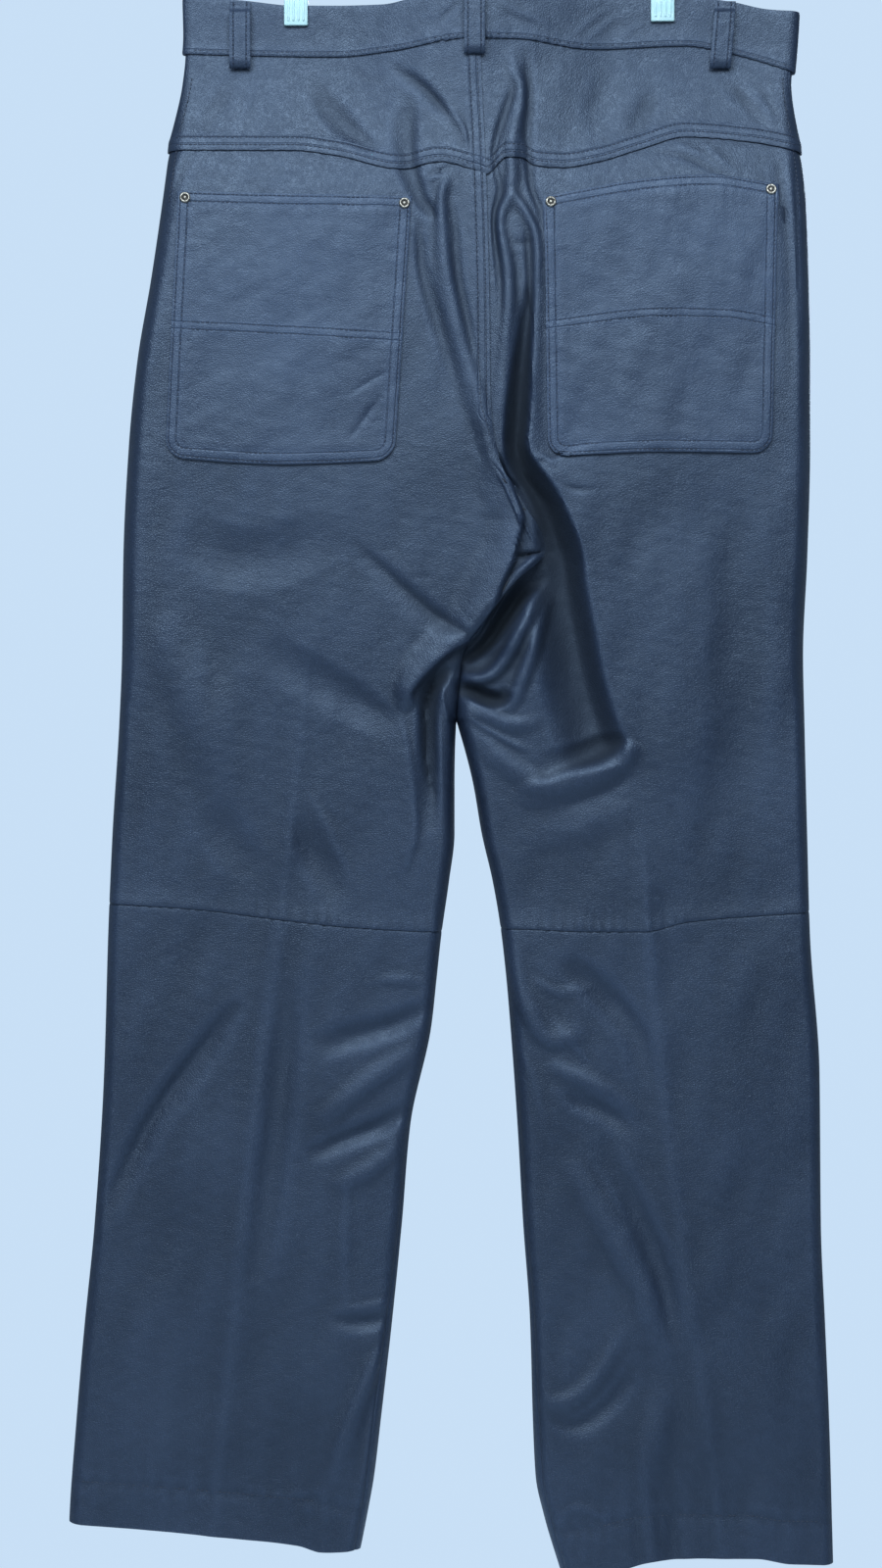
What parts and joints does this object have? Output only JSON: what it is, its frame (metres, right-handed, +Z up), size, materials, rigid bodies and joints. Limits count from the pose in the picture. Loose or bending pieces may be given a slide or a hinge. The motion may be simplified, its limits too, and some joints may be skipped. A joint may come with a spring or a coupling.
{
  "type": "leather trousers on a clip hanger",
  "caption": "Straight-leg leather trousers hung by the waistband from a clip hanger, with a lapped back yoke, patch pockets, belt loops and knee seams.",
  "frame": {"origin": "inside top of the hanger's hook, where it rests on a rail", "axes": "+Z up, the back of the trousers faces -Y, and +X is to the right of someone who looks at the back"},
  "size_m": [0.5488, 0.055, 1.2401],
  "materials": {
    "leather": "blue-black leather with a fine pebbled grain and a soft half gloss",
    "rivet_metal": "dulled antique brass with a dark centre",
    "clip_plastic": "clear plastic with a pale green cast",
    "hanger_metal": "polished steel wire"
  },
  "bodies": {
    "root": {"waistband_back": "leather", "waistband_front_left": "leather", "waistband_front_right": "leather", "yoke_left": "leather", "yoke_right": "leather", "back_thigh_left": "leather", "back_thigh_right": "leather", "back_shin_left": "leather", "back_shin_right": "leather", "front_thigh_left": "leather", "front_thigh_right": "leather", "front_shin_left": "leather", "front_shin_right": "leather", "pocket_left": "leather", "pocket_right": "leather", "belt_loop_back_left": "leather", "belt_loop_back_middle": "leather", "belt_loop_back_right": "leather", "belt_loop_front_left": "leather", "belt_loop_front_right": "leather", "rivet_left_outer": "rivet_metal", "rivet_left_inner": "rivet_metal", "rivet_right_inner": "rivet_metal", "rivet_right_outer": "rivet_metal", "waist_button": "rivet_metal", "hanger_hook": "hanger_metal", "hanger_bar": "clip_plastic", "clip_left": "clip_plastic", "clip_right": "clip_plastic"}
  },
  "joints": []
}
